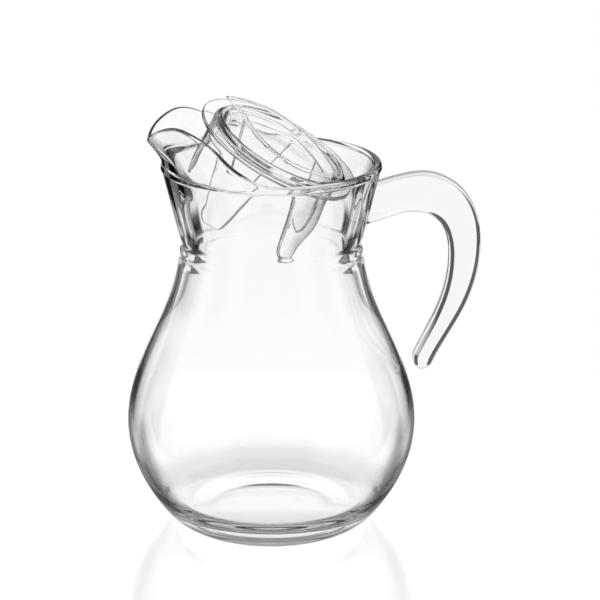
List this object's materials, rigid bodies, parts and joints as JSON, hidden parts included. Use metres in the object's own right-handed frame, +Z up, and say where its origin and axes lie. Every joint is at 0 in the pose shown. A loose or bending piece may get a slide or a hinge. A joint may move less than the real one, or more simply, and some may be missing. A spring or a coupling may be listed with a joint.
{
  "type": "water jug",
  "caption": "Round-bellied clear glass water jug with a raised pouring lip, an open hook handle and a loose clear plastic lid leaning in its mouth.",
  "frame": {"origin": "centre of the foot, on the surface the jug stands on", "axes": "+Z up along the jug's axis, +X towards the handle, -X towards the pouring spout"},
  "size_m": [0.1838, 0.1512, 0.2248],
  "materials": {
    "clear_glass": "clear polished soda glass",
    "clear_plastic": "clear glossy moulded plastic"
  },
  "bodies": {
    "jug": {"glass_base": "clear_glass", "glass_heel": "clear_glass", "glass_bowl_lower": "clear_glass", "glass_bowl_upper": "clear_glass", "glass_shoulder": "clear_glass", "glass_neck_collar": "clear_glass", "glass_rim_spout": "clear_glass", "glass_handle": "clear_glass"},
    "lid": {"lid_plate": "clear_plastic", "lid_skirt": "clear_plastic", "lid_grip": "clear_plastic", "lid_leg_1": "clear_plastic", "lid_leg_2": "clear_plastic", "lid_leg_3": "clear_plastic", "lid_leg_4": "clear_plastic", "lid_leg_5": "clear_plastic"}
  },
  "joints": [
    {"name": "lid_lift", "type": "slide", "parent": "jug", "child": "lid", "axis": [0, 0, 1], "range_m": [0, 0.1]}
  ]
}
